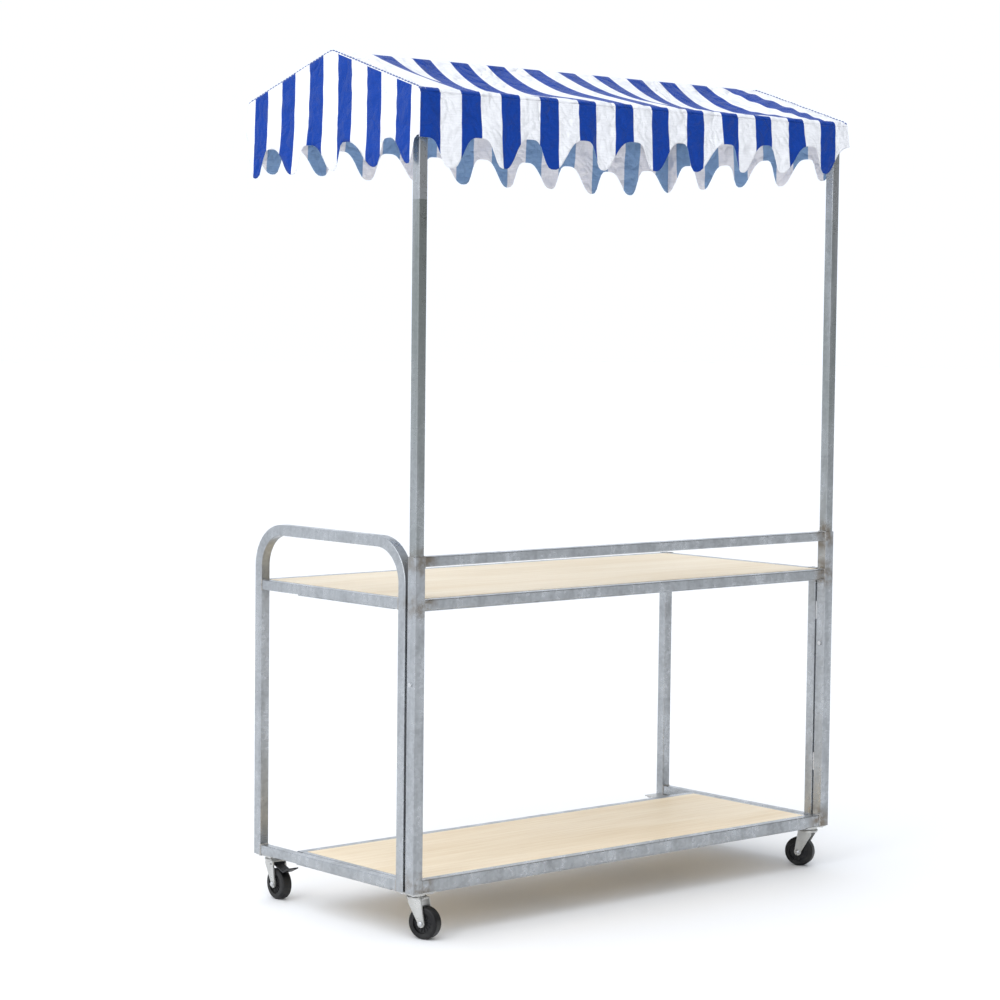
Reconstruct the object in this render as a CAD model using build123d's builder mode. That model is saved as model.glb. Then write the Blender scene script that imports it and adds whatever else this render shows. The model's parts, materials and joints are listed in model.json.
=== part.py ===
"""Push vending cart: a galvanised tube cart with two decks, a push arch and a striped canopy.

Millimetres, +Z up.  The origin is on the ground at the middle of the cart, +X runs along
the cart away from the push arch, and the customers stand on the -Y side.
"""
from build123d import *
import os

os.makedirs("parts", exist_ok=True)

# ---- driving dimensions -------------------------------------------------------------
cart_length = 1200.0        # over the end frames, along X
cart_depth = 530.0          # front face of the posts to the back of the end frames
frame_bottom = 93.0         # overall height of a caster
shelf_top = 670.0
guard_top = 754.0           # also the top of the post sockets
arch_top = 789.0
mast_foot = 508.0           # foot of a mast inside its post
mast_joint = 1445.0         # where a canopy leg meets its mast
eave_top = 1655.0
ridge_top = 1745.0
canopy_depth = 562.0
canopy_end_overhang = 8.0   # canopy past each end of the cart
canopy_front_overhang = 10.0

post_size = 25.0
post_wall = 1.5
frame_tube = 22.0           # legs and push arch of the end frames
rail_tube = 20.0            # shelf, guard and canopy rails
base_rail_height = 25.0     # front base rail
tube_wall = 1.2
tube_corner = 2.0
arch_radius = 79.0          # centre line of the bends of the push arch
fold_gap = 7.0              # between a post and its end frame
mast_clearance = 0.5        # each side, mast in post
spigot_clearance = 0.3      # each side, canopy spigot in mast
spigot_length = 60.0
lift_gap = 2.0              # around each lift-out deck
flat_gap = 0.3

board_thickness = 10.0
cross_bar_width = 25.0
cross_bars_per_deck = 4
ledge_thickness = 3.0
ledge_reach = 16.0          # how far a ledge stands under a deck
base_deck_depth = 410.0     # front of the posts to the back of the base deck
deck_end_width = 12.0       # end bars of the base deck

hinge_length = 40.0
hinge_heights = (236.0, 577.0)
hinge_bore_gap = 0.05
hinge_wall = 1.55
bolt_radius = 3.0
bolt_head_radius = 5.0
bolt_head_height = 3.0
bolt_clearance = 0.05

cloth = 2.0                 # canopy cover, as a plain solid
valance_tip = 1506.0        # lowest point of the scallops
valance_notch = 1575.0      # top of the notches between scallops
scallop_pitch = 133.0
scallop_width = 78.0

plate_length, plate_width, plate_thickness = 60.0, 50.0, 2.5
plate_edge = 3.0            # plate set in from the corner of the cart
plate_bolt_inset = 8.0
wheel_radius = 32.5
tyre_width = 24.0
rim_radius = 21.0
web_width = 14.0
boss_radius = 8.0
boss_width = 26.4
axle_radius = 4.0
running_gap = 0.05          # radial, shaft in bore
trail = 20.0                # axle behind the kingpin
fork_inner = 27.0           # between the fork legs
fork_plate = 2.5
crown_radius = 19.0
crown_top = 81.0
crown_plate = 3.0
race_radius = 18.0
kingpin_radius = 4.0
kingpin_head_radius = 6.5
kingpin_head_height = 2.5
leg_end_radius = 8.0
leg_rib = 1.0               # raised strip down the outside of a fork leg
pivot_radius = 2.0          # brake pedal pivot
pivot_x, pivot_z = 14.0, 73.5
pedal_plate = 2.5
pedal_width = 22.0
pedal_elbow = (50.0, 61.5)
pedal_tip = (76.0, 73.0)

# ---- values worked out from them ----------------------------------------------------
right_x, left_x = cart_length / 2, -cart_length / 2
front_y, back_y = -cart_depth / 2, cart_depth / 2
post_y = front_y + post_size / 2
end_front_y = front_y + post_size + fold_gap
rail_y = post_y
rail_back = rail_y + rail_tube / 2
shelf_bottom = shelf_top - rail_tube
base_top = frame_bottom + rail_tube
inner_x = right_x - frame_tube
deck_half = inner_x - lift_gap
deck_front = front_y + post_size + lift_gap
base_back = front_y + base_deck_depth
mast_size = post_size - 2 * post_wall - 2 * mast_clearance
spigot_size = mast_size - 2 * tube_wall - 2 * spigot_clearance
canopy_length = cart_length + 2 * canopy_end_overhang
canopy_y = front_y - canopy_front_overhang + canopy_depth / 2
eave_half_x = canopy_length / 2 - cloth - flat_gap
eave_half_y = canopy_depth / 2 - cloth - flat_gap
eave_z = eave_top - rail_tube / 2
slope = (ridge_top - eave_top) / (canopy_depth / 2)
ridge_z = ridge_top - slope * rail_tube / 2 - flat_gap - rail_tube / 2
sides = (-1, 1)

X_DIR, Y_DIR, Z_DIR = (1, 0, 0), (0, 1, 0), (0, 0, 1)


def save(piece, label):
    """Name a finished piece and write it."""
    piece.part.label = label
    export_step(piece.part, f"parts/{label}.step")


def tube(start, end, width, height, wall, x_dir):
    """A straight rectangular tube between two points on its centre line."""
    run = Vector(*end) - Vector(*start)
    with BuildPart() as piece:
        with BuildSketch(Plane(origin=start, x_dir=x_dir, z_dir=run)):
            RectangleRounded(width, height, tube_corner)
            RectangleRounded(width - 2 * wall, height - 2 * wall, tube_corner - wall / 2,
                             mode=Mode.SUBTRACT)
        extrude(amount=run.length)
    return piece


def rail(half_length, y, z, height):
    """A tube along X, centred on the cart."""
    return tube((-half_length, y, z), (half_length, y, z), rail_tube, height, tube_wall, Y_DIR)


def group(pieces):
    """Separate solids of one kind, kept in one node."""
    with BuildPart() as node:
        for piece in pieces:
            add(piece.part)
    return node


def plate(x0, x1, y0, y1, bottom, thickness):
    """A flat plate given by its edges."""
    with BuildPart() as piece:
        with BuildSketch(Plane.XY.offset(bottom)):
            with Locations(((x0 + x1) / 2, (y0 + y1) / 2)):
                Rectangle(abs(x1 - x0), abs(y1 - y0))
        extrude(amount=thickness)
    return piece


# ---- front frame: two post sockets and three rails ----------------------------------
def front_post(side):
    """A post socket, drilled for the bolt that its mast stands on."""
    x = side * (right_x - post_size / 2)
    bolt_z = mast_foot - flat_gap - bolt_radius
    with BuildPart() as post:
        with BuildSketch(Plane.XY.offset(frame_bottom)):
            with Locations((x, post_y)):
                RectangleRounded(post_size, post_size, tube_corner)
                RectangleRounded(post_size - 2 * post_wall, post_size - 2 * post_wall,
                                 tube_corner - post_wall, mode=Mode.SUBTRACT)
        extrude(amount=guard_top - frame_bottom)
        with BuildSketch(Plane(origin=(x, post_y, bolt_z), x_dir=Y_DIR, z_dir=X_DIR)):
            Circle(bolt_radius + bolt_clearance)
        extrude(amount=post_size, both=True, mode=Mode.SUBTRACT)
    return post


def stop_bolt(side):
    """The cross bolt under a mast, with its head and nut."""
    bolt_z = mast_foot - flat_gap - bolt_radius
    half = post_size / 2
    centre = (side * (right_x - half), post_y, bolt_z)
    with BuildPart() as bolt:
        with BuildSketch(Plane(origin=centre, x_dir=Y_DIR, z_dir=X_DIR)):
            Circle(bolt_radius)
        extrude(amount=half + bolt_head_height, both=True)
        for end in sides:
            face = (centre[0] + end * half, post_y, bolt_z)
            with BuildSketch(Plane(origin=face, x_dir=Y_DIR, z_dir=(end, 0, 0))):
                RegularPolygon(bolt_head_radius, 6)
            extrude(amount=bolt_head_height)
    return bolt


save(front_post(-1), "front_post_left")
save(front_post(1), "front_post_right")
save(group([stop_bolt(side) for side in sides]), "mast_stop_bolts")

between_posts = right_x - post_size
save(rail(between_posts, rail_y, guard_top - rail_tube / 2, rail_tube), "guard_rail")
save(rail(between_posts, rail_y, shelf_top - rail_tube / 2, rail_tube), "shelf_front_rail")
save(rail(between_posts, rail_y, frame_bottom + base_rail_height / 2, base_rail_height),
     "base_front_rail")

# ---- left end frame: the push arch and two cross rails ------------------------------
leg_front_y = end_front_y + frame_tube / 2
leg_back_y = back_y - frame_tube / 2
leg_x = right_x - frame_tube / 2
arch_z = arch_top - frame_tube / 2

with BuildPart() as handle_arch:
    with BuildLine() as arch_line:
        FilletPolyline((-leg_x, leg_front_y, frame_bottom), (-leg_x, leg_front_y, arch_z),
                       (-leg_x, leg_back_y, arch_z), (-leg_x, leg_back_y, frame_bottom),
                       radius=arch_radius)
    with BuildSketch(Plane(origin=(-leg_x, leg_front_y, frame_bottom), z_dir=Z_DIR)):
        RectangleRounded(frame_tube, frame_tube, tube_corner)
        RectangleRounded(frame_tube - 2 * tube_wall, frame_tube - 2 * tube_wall,
                         tube_corner - tube_wall / 2, mode=Mode.SUBTRACT)
    sweep()
save(handle_arch, "handle_arch")


def end_rail(side, top):
    """A cross rail between the two legs of an end frame."""
    z = top - rail_tube / 2
    return tube((side * leg_x, end_front_y + frame_tube, z),
                (side * leg_x, back_y - frame_tube, z), rail_tube, rail_tube, tube_wall, X_DIR)


def end_leg(y):
    """A straight leg of the right end frame."""
    return tube((leg_x, y, frame_bottom), (leg_x, y, shelf_top),
                frame_tube, frame_tube, tube_wall, X_DIR)


for name, side in (("left", -1), ("right", 1)):
    save(end_rail(side, shelf_top), f"{name}_shelf_rail")
    save(end_rail(side, base_top), f"{name}_base_rail")
save(end_leg(leg_front_y), "right_front_leg")
save(end_leg(leg_back_y), "right_rear_leg")

# ---- fold hinges: two weld-on barrels in each gap -----------------------------------
hinge_radius = fold_gap / 2 - flat_gap / 2
hinge_pin_radius = hinge_radius - hinge_wall
hinge_y = front_y + post_size + fold_gap / 2
hinge_x = right_x - frame_tube + hinge_radius
hinge_places = [(side * hinge_x, hinge_y, z) for side in sides for z in hinge_heights]


def hinge_barrel(place, lift):
    """Half a hinge barrel, above or below the hinge's middle."""
    bottom = place[2] + lift * hinge_length / 4 - hinge_length / 4 + flat_gap / 2
    with BuildPart() as barrel:
        with BuildSketch(Plane(origin=(place[0], place[1], bottom))):
            Circle(hinge_radius)
            Circle(hinge_pin_radius + hinge_bore_gap, mode=Mode.SUBTRACT)
        extrude(amount=hinge_length / 2 - flat_gap)
    return barrel


def hinge_pin(place):
    """The pin through both halves of a hinge."""
    with BuildPart() as pin:
        with BuildSketch(Plane(origin=(place[0], place[1], place[2] - hinge_length / 2))):
            Circle(hinge_pin_radius)
        extrude(amount=hinge_length)
    return pin


save(group([hinge_barrel(place, 1) for place in hinge_places]), "hinge_barrels_post")
save(group([hinge_barrel(place, -1) for place in hinge_places]), "hinge_barrels_frame")
save(group([hinge_pin(place) for place in hinge_places]), "hinge_pins")


# ---- ledges that the lift-out decks stand on ----------------------------------------
def ledges(deck_bottom, front_half):
    """The front strip and the two end strips under one deck."""
    level = deck_bottom - ledge_thickness
    front = plate(-front_half, front_half, rail_back - ledge_reach, deck_front + ledge_reach, level,
                  ledge_thickness)
    ends = [plate(side * (inner_x + ledge_reach), side * (deck_half - ledge_reach),
                  end_front_y + 2 * frame_tube, base_back - frame_tube, level, ledge_thickness)
            for side in sides]
    return [front] + ends


def back_lug(side):
    """A lug on the back leg, under the back rail of the shelf."""
    return plate(side * inner_x, side * (deck_half - ledge_reach), back_y - rail_tube, back_y,
                 shelf_bottom - ledge_thickness, ledge_thickness)


shelf_ledge_half = between_posts - lift_gap
base_ledge_half = right_x - plate_edge - plate_length - lift_gap
save(group(ledges(shelf_bottom, shelf_ledge_half) + [back_lug(side) for side in sides]),
     "shelf_ledges")
save(group(ledges(frame_bottom, base_ledge_half)), "base_ledges")


# ---- the two decks ------------------------------------------------------------------
def cross_bars(back, bottom, reach):
    """Flat tubes under a board, from its front edge to the back rail."""
    height = rail_tube - board_thickness
    step = 2 * (reach - cross_bar_width / 2) / (cross_bars_per_deck - 1)
    places = [-reach + cross_bar_width / 2 + step * i for i in range(cross_bars_per_deck)]
    z = bottom + height / 2
    return group([tube((x, deck_front, z), (x, back, z), cross_bar_width, height,
                       tube_wall, X_DIR) for x in places])


shelf_back = back_y - rail_tube
save(plate(-deck_half, deck_half, deck_front, shelf_back, shelf_top - board_thickness,
           board_thickness), "shelf_board")
save(rail(deck_half, back_y - rail_tube / 2, shelf_top - rail_tube / 2, rail_tube),
     "shelf_back_rail")
save(cross_bars(shelf_back, shelf_bottom, deck_half), "shelf_cross_bars")

base_inner = deck_half - deck_end_width
base_board_back = base_back - rail_tube
save(plate(-base_inner, base_inner, deck_front, base_board_back, base_top - board_thickness,
           board_thickness), "base_board")
save(rail(deck_half, base_back - rail_tube / 2, base_top - rail_tube / 2, rail_tube),
     "base_back_rail")
save(cross_bars(base_board_back, frame_bottom, base_inner), "base_cross_bars")
deck_end_x = deck_half - deck_end_width / 2
save(group([tube((side * deck_end_x, deck_front, base_top - rail_tube / 2),
                 (side * deck_end_x, base_board_back, base_top - rail_tube / 2),
                 deck_end_width, rail_tube, tube_wall, X_DIR) for side in sides]),
     "base_end_bars")

# ---- masts --------------------------------------------------------------------------
mast_x = right_x - post_size / 2
for name, side in (("left", -1), ("right", 1)):
    save(tube((side * mast_x, post_y, mast_foot), (side * mast_x, post_y, mast_joint),
              mast_size, mast_size, tube_wall, X_DIR), f"mast_{name}")


# ---- canopy frame -------------------------------------------------------------------
def canopy_leg(side):
    """A short leg under the front eave, with the spigot that enters the mast."""
    centre = (side * mast_x, post_y)
    with BuildPart() as leg:
        with BuildSketch(Plane.XY.offset(mast_joint)):
            with Locations(centre):
                RectangleRounded(mast_size, mast_size, tube_corner)
                Rectangle(spigot_size - 2 * tube_wall, spigot_size - 2 * tube_wall,
                          mode=Mode.SUBTRACT)
        extrude(amount=eave_top - rail_tube - mast_joint)
        with BuildSketch(Plane.XY.offset(mast_joint - spigot_length)):
            with Locations(centre):
                RectangleRounded(spigot_size, spigot_size, tube_corner)
                Rectangle(spigot_size - 2 * tube_wall, spigot_size - 2 * tube_wall,
                          mode=Mode.SUBTRACT)
        extrude(amount=spigot_length)
    return leg


def eave_rail_short(side):
    """An eave rail across the end of the canopy."""
    x = side * (eave_half_x - rail_tube / 2)
    reach = eave_half_y - rail_tube
    return tube((x, canopy_y - reach, eave_z), (x, canopy_y + reach, eave_z),
                rail_tube, rail_tube, tube_wall, X_DIR)


def rafter(side, half):
    """A sloping tube beside an end eave rail, cut upright at the ridge and at the eave."""
    x = side * (eave_half_x - rail_tube * 1.5)
    near, far = rail_tube / 2, eave_half_y - rail_tube
    top_near = ridge_top - slope * near - flat_gap
    run = Vector(0, half * (far - near), -slope * (far - near))
    centre = (x, canopy_y + half * near, top_near - rail_tube / 2)
    with BuildPart() as bar:
        with BuildSketch(Plane(origin=centre, x_dir=X_DIR, z_dir=(0, half, 0))):
            Rectangle(rail_tube, rail_tube)
            Rectangle(rail_tube - 2 * tube_wall, rail_tube - 2 * tube_wall, mode=Mode.SUBTRACT)
        extrude(amount=run.length, dir=run)
    return bar


for name, side in (("left", -1), ("right", 1)):
    save(canopy_leg(side), f"canopy_leg_{name}")
for name, half in (("front", -1), ("back", 1)):
    save(rail(eave_half_x, canopy_y + half * (eave_half_y - rail_tube / 2), eave_z, rail_tube),
         f"eave_rail_{name}")
save(group([eave_rail_short(side) for side in sides]), "eave_rails_end")
save(rail(eave_half_x, canopy_y, ridge_z, rail_tube), "ridge_rail")
save(group([rafter(side, half) for side in sides for half in sides]), "canopy_rafters")


# ---- canopy cover -------------------------------------------------------------------
def roof_panel(half):
    """One slope of the cover, from the ridge to the eave."""
    reach = canopy_depth / 2
    with BuildPart() as panel:
        with BuildSketch(Plane(origin=(-canopy_length / 2, canopy_y, 0), x_dir=Y_DIR,
                               z_dir=X_DIR)):
            Polygon((half * flat_gap / 2, ridge_top), (half * reach, eave_top),
                    (half * reach, eave_top + cloth), (half * flat_gap / 2, ridge_top + cloth),
                    align=None)
        extrude(amount=canopy_length)
    return panel


def scallops(length):
    """How many scallops hang along a valance, and the middle of each."""
    count = round(length / scallop_pitch)
    step = length / count
    return [(i - (count - 1) / 2) * step for i in range(count)]


def hanging_band(length, top):
    """The outline of a valance: a straight band with round-ended scallops."""
    drop = top - valance_tip
    with Locations((0, (top + valance_notch) / 2)):
        Rectangle(length, top - valance_notch)
    with Locations([(x, valance_tip + drop / 2) for x in scallops(length)]):
        SlotOverall(drop, scallop_width, rotation=90)


def long_valance(half):
    """The valance under the front or the back eave."""
    face = canopy_y + half * (canopy_depth / 2 - cloth)
    with BuildPart() as valance:
        with BuildSketch(Plane(origin=(0, face, 0), x_dir=X_DIR, z_dir=(0, -1, 0))):
            hanging_band(canopy_length, eave_top)
        extrude(amount=-half * cloth)
    return valance


def gable(side):
    """The triangle and the valance at one end of the canopy."""
    length = canopy_depth - 2 * cloth
    face = side * (canopy_length / 2 - cloth)
    with BuildPart() as end:
        with BuildSketch(Plane(origin=(face, canopy_y, 0), x_dir=Y_DIR, z_dir=X_DIR)):
            hanging_band(length, eave_top)
            Polygon((-length / 2, eave_top), (length / 2, eave_top),
                    (0, eave_top + slope * length / 2), align=None)
        extrude(amount=side * cloth)
    return end


save(roof_panel(-1), "canopy_roof_front")
save(roof_panel(1), "canopy_roof_back")
save(group([long_valance(half) for half in sides]), "canopy_valances")
save(group([gable(side) for side in sides]), "canopy_gables")

# ---- casters ------------------------------------------------------------------------
# name, side along X, side along Y, direction the wheel trails, foot brake
CASTERS = (
    ("front_left", -1, -1, (0.315, -0.949), False),
    ("front_right", 1, -1, (-0.405, 0.906), False),
    ("back_left", -1, 1, (-0.07, -0.997), True),
    ("back_right", 1, 1, (0.30, -0.95), True),
)
plate_bottom = frame_bottom - plate_thickness
kingpin_inset_x = plate_edge + plate_length / 2
kingpin_inset_y = plate_edge + plate_width / 2
race_bottom = crown_top + 4.0
boss_top = race_bottom - flat_gap


def corner(side_x, side_y):
    """The middle of the caster at one corner of the cart."""
    return side_x * (right_x - kingpin_inset_x), side_y * (back_y - kingpin_inset_y)


def caster_plate(x, y):
    """The top plate that is bolted under the frame."""
    with BuildPart() as top:
        with BuildSketch(Plane.XY.offset(plate_bottom)):
            with Locations((x, y)):
                RectangleRounded(plate_length, plate_width, tube_corner)
        extrude(amount=plate_thickness)
    return top


def plate_nuts(x, y):
    """Four nuts under a top plate, at its corners."""
    grid = (plate_length - 2 * plate_bolt_inset, plate_width - 2 * plate_bolt_inset)
    with BuildPart() as nuts:
        with BuildSketch(Plane.XY.offset(plate_bottom - bolt_head_height)):
            with Locations((x, y)):
                with GridLocations(grid[0], grid[1], 2, 2):
                    RegularPolygon(bolt_head_radius, 6)
        extrude(amount=bolt_head_height)
    return nuts


def kingpin(x, y):
    """The fixed race and the riveted kingpin."""
    crown_bottom = crown_top - crown_plate
    head_top = crown_bottom - flat_gap
    with BuildPart() as pin:
        with BuildSketch(Plane.XY.offset(race_bottom)):
            with Locations((x, y)):
                Circle(race_radius)
        extrude(amount=plate_bottom - race_bottom)
        with BuildSketch(Plane.XY.offset(head_top)):
            with Locations((x, y)):
                Circle(kingpin_radius)
        extrude(amount=race_bottom - head_top)
        with BuildSketch(Plane.XY.offset(head_top - kingpin_head_height)):
            with Locations((x, y)):
                Circle(kingpin_head_radius)
        extrude(amount=kingpin_head_height)
    return pin


def side_plane(base, y):
    """An upright plane along the trail of a caster, y from its middle."""
    origin = base.from_local_coords(Vector(0, y, 0))
    return Plane(origin=origin, x_dir=base.x_dir, z_dir=base.x_dir.cross(Vector(*Z_DIR)))


def fork(base, braked):
    """A pressed fork: crown, swivel dish and two tapering legs."""
    crown_bottom = crown_top - crown_plate
    holes = [(trail, wheel_radius, axle_radius)]
    if braked:
        holes.append((pivot_x, pivot_z, pivot_radius))
    with BuildPart() as body:
        with BuildSketch(base.offset(crown_bottom)):
            Circle(crown_radius)
            with Locations((crown_radius / 4, 0)):
                Rectangle(crown_radius * 1.6, fork_inner + 2 * fork_plate)
        extrude(amount=crown_plate)
        with BuildSketch(base.offset(crown_top)):
            Circle(race_radius - 2)
        extrude(amount=boss_top - crown_top)
        for side in sides:
            with BuildSketch(side_plane(base, side * (fork_inner + fork_plate) / 2)):
                with BuildLine():
                    Polyline((-crown_radius * 0.55, crown_top), (-crown_radius * 0.55, crown_top - 9),
                             (trail - leg_end_radius * 0.9, wheel_radius),
                             (trail + leg_end_radius, wheel_radius),
                             (crown_radius * 1.05, crown_top), close=True)
                make_face()
                with Locations((trail, wheel_radius)):
                    Circle(leg_end_radius)
            extrude(amount=fork_plate / 2, both=True)
            with BuildSketch(side_plane(base, side * (fork_inner / 2 + fork_plate))):
                with BuildLine():
                    Polyline((crown_radius * 0.15, crown_top), (trail - leg_end_radius * 0.8, wheel_radius),
                             (trail + leg_end_radius * 0.9, wheel_radius),
                             (crown_radius, crown_top), close=True)
                make_face()
                with Locations((trail, wheel_radius)):
                    Circle(leg_end_radius - 0.5)
            extrude(amount=leg_rib, both=True)
        with BuildSketch(base):
            Circle(kingpin_radius + running_gap)
        extrude(amount=plate_bottom, mode=Mode.SUBTRACT)
        for x, z, radius in holes:
            with BuildSketch(side_plane(base, 0)):
                with Locations((x, z)):
                    Circle(radius + running_gap)
            extrude(amount=fork_inner, both=True, mode=Mode.SUBTRACT)
    return body


def round_part(base, rings):
    """Coaxial discs about the axle: (outer radius, bore radius, half width)."""
    with BuildPart() as part:
        for outer, _, half in rings:
            with BuildSketch(side_plane(base, 0)):
                with Locations((trail, wheel_radius)):
                    Circle(outer)
            extrude(amount=half, both=True)
        for _, bore, half in rings:
            if bore > 0:
                with BuildSketch(side_plane(base, 0)):
                    with Locations((trail, wheel_radius)):
                        Circle(bore)
                extrude(amount=half + 1, both=True, mode=Mode.SUBTRACT)
    return part


def tyre(base):
    """A rubber tyre with rounded shoulders."""
    with BuildPart() as ring:
        with BuildSketch(side_plane(base, 0)):
            with Locations((trail, wheel_radius)):
                Circle(wheel_radius)
                Circle(rim_radius, mode=Mode.SUBTRACT)
        extrude(amount=tyre_width / 2, both=True)
        rims = ring.edges().filter_by(GeomType.CIRCLE).sort_by(SortBy.RADIUS)[-2:]
        fillet(rims, radius=tyre_width / 5)
    return ring


def brake_pedal(base):
    """A foot pedal that turns on a pin between the fork legs."""
    reach = fork_inner / 2 + fork_plate
    with BuildPart() as pedal:
        with BuildSketch(side_plane(base, 0)):
            with BuildLine() as spine:
                Polyline((pivot_x, pivot_z), pedal_elbow, pedal_tip)
            trace(spine.line, line_width=pedal_plate)
        extrude(amount=pedal_width / 2, both=True)
        with BuildSketch(side_plane(base, 0)):
            with Locations((pivot_x, pivot_z)):
                Circle(pivot_radius * 1.9)
        extrude(amount=pedal_width / 2, both=True)
        with BuildSketch(side_plane(base, 0)):
            with Locations((pivot_x, pivot_z)):
                Circle(pivot_radius)
        extrude(amount=reach, both=True)
    return pedal


plates, nuts, kingpins = [], [], []
axle_reach = fork_inner / 2 + fork_plate
for name, side_x, side_y, heading, braked in CASTERS:
    x, y = corner(side_x, side_y)
    base = Plane(origin=(x, y, 0), x_dir=(heading[0], heading[1], 0), z_dir=Z_DIR)
    plates.append(caster_plate(x, y))
    nuts.append(plate_nuts(x, y))
    kingpins.append(kingpin(x, y))
    save(fork(base, braked), f"fork_{name}")
    save(tyre(base), f"tyre_{name}")
    save(round_part(base, [(rim_radius, axle_radius + running_gap, web_width / 2),
                           (boss_radius, axle_radius + running_gap, boss_width / 2)]),
         f"hub_{name}")
    save(round_part(base, [(axle_radius, 0, axle_reach + bolt_head_height)]), f"axle_{name}")
    if braked:
        save(brake_pedal(base), f"brake_pedal_{name}")
save(group(plates), "caster_plates")
save(group(nuts), "caster_nuts")
save(group(kingpins), "caster_kingpins")
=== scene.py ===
"""Looks of the push vending cart: finishes, canopy cover, welds, stitches and caster details.

Everything is in metres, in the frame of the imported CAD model: +Z up, origin on the ground
at the middle of the cart, the push arch at -X and the customers at -Y.
"""

import json
import logging
import math
from dataclasses import dataclass
from enum import Enum
from typing import Callable, Iterable, Sequence

import bmesh
import bpy
import numpy as np
from mathutils import Matrix, Vector, noise


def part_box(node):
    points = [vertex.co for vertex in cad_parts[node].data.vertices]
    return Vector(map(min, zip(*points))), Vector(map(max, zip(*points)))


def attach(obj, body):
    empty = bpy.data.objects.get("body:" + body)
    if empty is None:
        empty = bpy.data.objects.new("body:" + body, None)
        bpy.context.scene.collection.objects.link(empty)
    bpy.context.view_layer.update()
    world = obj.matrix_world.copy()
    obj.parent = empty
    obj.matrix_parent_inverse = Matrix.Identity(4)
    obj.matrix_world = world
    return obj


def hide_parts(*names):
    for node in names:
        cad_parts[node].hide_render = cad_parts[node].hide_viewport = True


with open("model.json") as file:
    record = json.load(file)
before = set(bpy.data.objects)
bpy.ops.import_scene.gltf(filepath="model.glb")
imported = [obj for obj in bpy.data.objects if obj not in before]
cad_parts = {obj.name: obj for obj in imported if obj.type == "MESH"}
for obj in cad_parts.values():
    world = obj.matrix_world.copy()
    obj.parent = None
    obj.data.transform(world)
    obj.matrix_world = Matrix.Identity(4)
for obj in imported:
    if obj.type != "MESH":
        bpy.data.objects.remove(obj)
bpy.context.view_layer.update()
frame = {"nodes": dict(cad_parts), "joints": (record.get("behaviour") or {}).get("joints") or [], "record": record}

LOG = logging.getLogger("cart")
MM = 0.001
WELD_HEIGHTS = (0.105, 0.660, 0.744)
ROOF_STRIPES = 11
Colour = tuple[float, float, float, float]
Point = tuple[float, float, float]


class Side(Enum):
    """Which long or short side of the canopy a panel hangs on."""

    FRONT = "front"
    BACK = "back"
    LEFT = "left"
    RIGHT = "right"


class Slot(Enum):
    """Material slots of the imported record."""

    TUBE = "galvanised_tube"
    FASTENER = "bright_fastener"
    ZINC = "zinc_plate"
    TYRE = "tyre_rubber"
    HUB = "hub_plastic"
    PEDAL = "pedal_plastic"
    BOARD = "plywood"
    CLOTH = "striped_cloth"


# ---- node helpers -------------------------------------------------------------------
class Tree:
    """Short calls for building a node tree."""

    def __init__(self, tree: bpy.types.NodeTree) -> None:
        """Keep the tree that the calls work on."""
        self.tree = tree

    def add(self, kind: str, settings: dict | None = None, **inputs: object) -> bpy.types.Node:
        """Add a node.

        Args:
            kind: the node's bl_idname.
            settings: attributes to set on the node.
            inputs: socket name or position (as in i0) to a value or another node's socket.

        Returns:
            The new node.
        """
        node = self.tree.nodes.new(kind)
        for name, value in (settings or {}).items():
            setattr(node, name, value)
        for name, value in inputs.items():
            key = int(name[1:]) if name[0] == "i" and name[1:].isdigit() else name.replace("_", " ")
            socket = node.inputs[key]
            if isinstance(value, bpy.types.NodeSocket):
                self.tree.links.new(value, socket)
            else:
                socket.default_value = value
        return node

    def math(self, operation: str, *values: object, clamp: bool = False) -> bpy.types.NodeSocket:
        """Add a Math node and return its result.

        Args:
            operation: the node's operation.
            values: its inputs in order, each a number or a socket.
            clamp: whether the result is kept from 0 to 1.

        Returns:
            The result's socket.
        """
        inputs = {f"i{i}": v for i, v in enumerate(values)}
        settings = {"operation": operation, "use_clamp": clamp}
        return self.add("ShaderNodeMath", settings, **inputs).outputs[0]

    def mix(self, factor: object, low: object, high: object) -> bpy.types.NodeSocket:
        """Mix two colours and return the result."""
        node = self.add("ShaderNodeMix", {"data_type": "RGBA"}, i0=factor, i6=low, i7=high)
        return node.outputs[2]

    def ramp(self, value: object, low: float, high: float, to_low: float = 0.0,
             to_high: float = 1.0) -> bpy.types.NodeSocket:
        """Map a value smoothly from one range to another.

        Args:
            value: the value's socket.
            low: where the ramp starts.
            high: where it ends.
            to_low: the result at the start.
            to_high: the result at the end.

        Returns:
            The result's socket.
        """
        node = self.add("ShaderNodeMapRange", {"interpolation_type": "SMOOTHSTEP"},
                        i0=value, i1=low, i2=high, i3=to_low, i4=to_high)
        return node.outputs[0]

    def noise(self, vector: object, scale: float, detail: float = 2.0) -> bpy.types.NodeSocket:
        """Add a noise texture and return its value."""
        node = self.add("ShaderNodeTexNoise", None, Vector=vector, Scale=scale, Detail=detail)
        return node.outputs["Fac"]


def new_group(name: str, inputs: Sequence[tuple[str, str, object]],
              outputs: Sequence[tuple[str, str]]) -> tuple[Tree, bpy.types.Node, bpy.types.Node]:
    """Start a shader node group.

    Args:
        name: the group's name.
        inputs: name, socket type and default of each input.
        outputs: name and socket type of each output.

    Returns:
        The tree, its input node and its output node.
    """
    group = bpy.data.node_groups.new(name, "ShaderNodeTree")
    for label, kind, default in inputs:
        socket = group.interface.new_socket(name=label, in_out="INPUT", socket_type=kind)
        if default is not None:
            socket.default_value = default
    for label, kind in outputs:
        group.interface.new_socket(name=label, in_out="OUTPUT", socket_type=kind)
    tree = Tree(group)
    return tree, tree.add("NodeGroupInput"), tree.add("NodeGroupOutput")


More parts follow.
